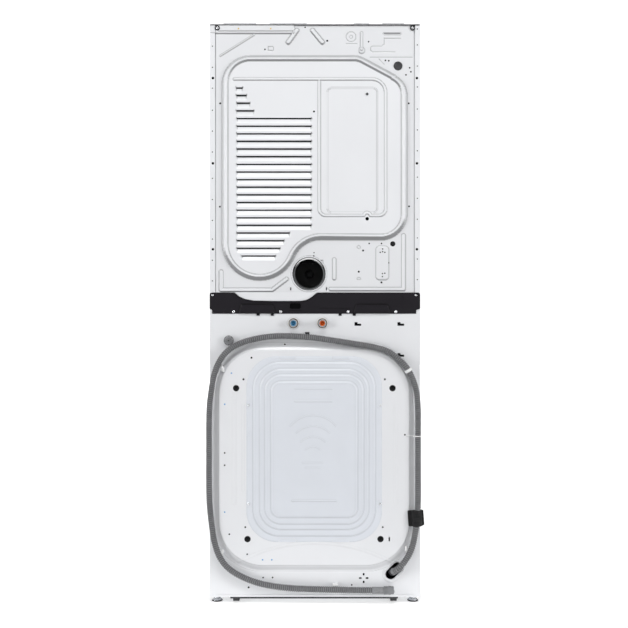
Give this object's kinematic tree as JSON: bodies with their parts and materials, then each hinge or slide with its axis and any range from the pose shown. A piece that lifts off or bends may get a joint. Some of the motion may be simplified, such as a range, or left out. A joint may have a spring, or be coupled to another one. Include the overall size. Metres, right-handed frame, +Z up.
{
  "type": "stacked washer and dryer tower",
  "caption": "Free-standing laundry tower: front-loading washer below, vented tumble dryer above, seen from its service side, with clipped drain hose.",
  "frame": {"origin": "on the floor, under the middle of the tower's outer box", "axes": "+Z up, the doors face -Y, the service side faces +Y, +X to the right as seen from the doors"},
  "size_m": [0.7082, 0.77, 1.888],
  "materials": {
    "white_paint": "satin white powder coat",
    "cool_white_plastic": "slightly bluish white moulding",
    "white_plastic": "smooth white moulding",
    "tub_plastic": "glass-filled polypropylene",
    "black_paint": "satin black powder coat",
    "galvanised": "spangled zinc coat",
    "stainless": "rolled stainless sheet",
    "grey_plastic": "matt grey moulding",
    "dark_plastic": "dark grey moulding",
    "grey_rubber": "matt grey rubber",
    "black_rubber": "matt black rubber",
    "cast_metal": "as cast",
    "door_glass": "clear moulded glass",
    "copper_steel": "wound copper on laminated steel",
    "chrome": "bright plated",
    "zinc_steel": "bright zinc plated steel"
  },
  "bodies": {
    "cabinet": {"washer_side_panel_left": "white_paint", "washer_side_panel_right": "white_paint", "washer_rear_panel": "white_paint", "rear_service_cover": "cool_white_plastic", "washer_front_panel": "white_paint", "base_frame": "galvanised", "middle_frame": "galvanised", "drain_hose": "grey_plastic", "hose_end_fitting": "grey_plastic", "hose_strap": "black_rubber", "cold_inlet_valve": "zinc_steel", "hot_inlet_valve": "zinc_steel", "drain_pump": "grey_plastic", "stacking_bracket": "black_paint", "control_panel": "dark_plastic", "drawer_housing": "white_plastic", "door_gasket": "grey_rubber", "suspension_spring_left": "zinc_steel", "suspension_spring_right": "zinc_steel", "damper_left": "grey_plastic", "damper_right": "grey_plastic", "dryer_side_panel_left": "white_paint", "dryer_side_panel_right": "white_paint", "dryer_rear_panel": "white_paint", "top_cover": "white_paint", "dryer_front_panel": "white_paint", "front_bulkhead": "galvanised", "rear_bulkhead": "galvanised", "exhaust_duct": "galvanised", "blower_housing": "galvanised", "drum_motor": "galvanised", "drum_belt": "black_rubber"},
    "tub": {"tub_front": "tub_plastic", "tub_rear": "tub_plastic", "counterweight": "cast_metal", "motor_stator": "copper_steel", "shaft_bearing": "zinc_steel"},
    "washer_drum": {"washer_drum": "stainless", "drum_spider": "cast_metal", "motor_rotor": "galvanised"},
    "dryer_drum": {"dryer_drum": "stainless"},
    "drive_motor": {"motor_shaft": "zinc_steel", "blower_wheel": "dark_plastic"},
    "roller_left": {"drum_roller_left": "black_rubber"},
    "roller_right": {"drum_roller_right": "black_rubber"},
    "washer_door": {"washer_door_frame": "chrome", "washer_door_glass": "door_glass"},
    "dryer_door": {"dryer_door_frame": "chrome", "dryer_door_glass": "door_glass"},
    "lint_filter": {"lint_filter": "grey_plastic"},
    "detergent_drawer": {"detergent_drawer": "white_plastic"},
    "washer_knob": {"washer_knob": "chrome"},
    "dryer_knob": {"dryer_knob": "chrome"},
    "washer_button": {"washer_start_button": "white_plastic"},
    "dryer_button": {"dryer_start_button": "white_plastic"},
    "pump_flap": {"pump_flap": "white_paint"},
    "foot_front_left": {"foot_front_left": "dark_plastic"},
    "foot_front_right": {"foot_front_right": "dark_plastic"},
    "foot_rear_left": {"foot_rear_left": "dark_plastic"},
    "foot_rear_right": {"foot_rear_right": "dark_plastic"}
  },
  "joints": [
    {"name": "tub_suspension", "type": "slide", "parent": "cabinet", "child": "tub", "axis": [0, 0, 1], "range_m": [-0.01, 0.01], "stiffness_N_per_m": 15000, "springref_m": 0.04519, "deforming": ["suspension_spring_left", "suspension_spring_right", "damper_left", "damper_right", "door_gasket"]},
    {"name": "washer_drum_spin", "type": "hinge", "parent": "tub", "child": "washer_drum", "pos_m": [0, 0, 0.44], "axis": [0, 1, 0], "continuous": true},
    {"name": "dryer_drum_spin", "type": "hinge", "parent": "cabinet", "child": "dryer_drum", "pos_m": [0, 0, 1.47], "axis": [0, 1, 0], "continuous": true},
    {"name": "drive_motor_spin", "type": "hinge", "parent": "cabinet", "child": "drive_motor", "pos_m": [0.0194, 0, 1.08], "axis": [0, 1, 0], "continuous": true},
    {"name": "roller_left_spin", "type": "hinge", "parent": "cabinet", "child": "roller_left", "pos_m": [-0.15, 0, 1.18928], "axis": [0, 1, 0], "continuous": true},
    {"name": "roller_right_spin", "type": "hinge", "parent": "cabinet", "child": "roller_right", "pos_m": [0.15, 0, 1.18928], "axis": [0, 1, 0], "continuous": true},
    {"name": "washer_door_hinge", "type": "hinge", "parent": "cabinet", "child": "washer_door", "pos_m": [-0.25, -0.35, 0.44], "axis": [0, 0, -1], "range_deg": [0, 120]},
    {"name": "dryer_door_hinge", "type": "hinge", "parent": "cabinet", "child": "dryer_door", "pos_m": [-0.25, -0.35, 1.47], "axis": [0, 0, -1], "range_deg": [0, 120]},
    {"name": "lint_filter_lift", "type": "slide", "parent": "cabinet", "child": "lint_filter", "axis": [0, 0, 1], "range_m": [0, 0.16]},
    {"name": "detergent_drawer_slide", "type": "slide", "parent": "cabinet", "child": "detergent_drawer", "axis": [0, -1, 0], "range_m": [0, 0.2]},
    {"name": "washer_knob_turn", "type": "hinge", "parent": "cabinet", "child": "washer_knob", "pos_m": [0, -0.365, 0.925], "axis": [0, -1, 0], "continuous": true},
    {"name": "dryer_knob_turn", "type": "hinge", "parent": "cabinet", "child": "dryer_knob", "pos_m": [0, -0.365, 1.01], "axis": [0, -1, 0], "continuous": true},
    {"name": "washer_button_press", "type": "slide", "parent": "cabinet", "child": "washer_button", "axis": [0, 1, 0], "range_m": [0, 0.002], "stiffness_N_per_m": 400},
    {"name": "dryer_button_press", "type": "slide", "parent": "cabinet", "child": "dryer_button", "axis": [0, 1, 0], "range_m": [0, 0.002], "stiffness_N_per_m": 400},
    {"name": "pump_flap_hinge", "type": "hinge", "parent": "cabinet", "child": "pump_flap", "pos_m": [0.24, -0.339, 0.046], "axis": [1, 0, 0], "range_deg": [0, 90]},
    {"name": "foot_front_left_level", "type": "slide", "parent": "cabinet", "child": "foot_front_left", "axis": [0, 0, -1], "range_m": [0, 0.02]},
    {"name": "foot_front_right_level", "type": "slide", "parent": "cabinet", "child": "foot_front_right", "axis": [0, 0, -1], "range_m": [0, 0.02]},
    {"name": "foot_rear_left_level", "type": "slide", "parent": "cabinet", "child": "foot_rear_left", "axis": [0, 0, -1], "range_m": [0, 0.02]},
    {"name": "foot_rear_right_level", "type": "slide", "parent": "cabinet", "child": "foot_rear_right", "axis": [0, 0, -1], "range_m": [0, 0.02]}
  ],
  "couplings": [
    {"joint": "drive_motor_spin", "follows": "dryer_drum_spin", "ratio": 24.167},
    {"joint": "roller_left_spin", "follows": "dryer_drum_spin", "ratio": -10.357},
    {"joint": "roller_right_spin", "follows": "dryer_drum_spin", "ratio": -10.357}
  ]
}
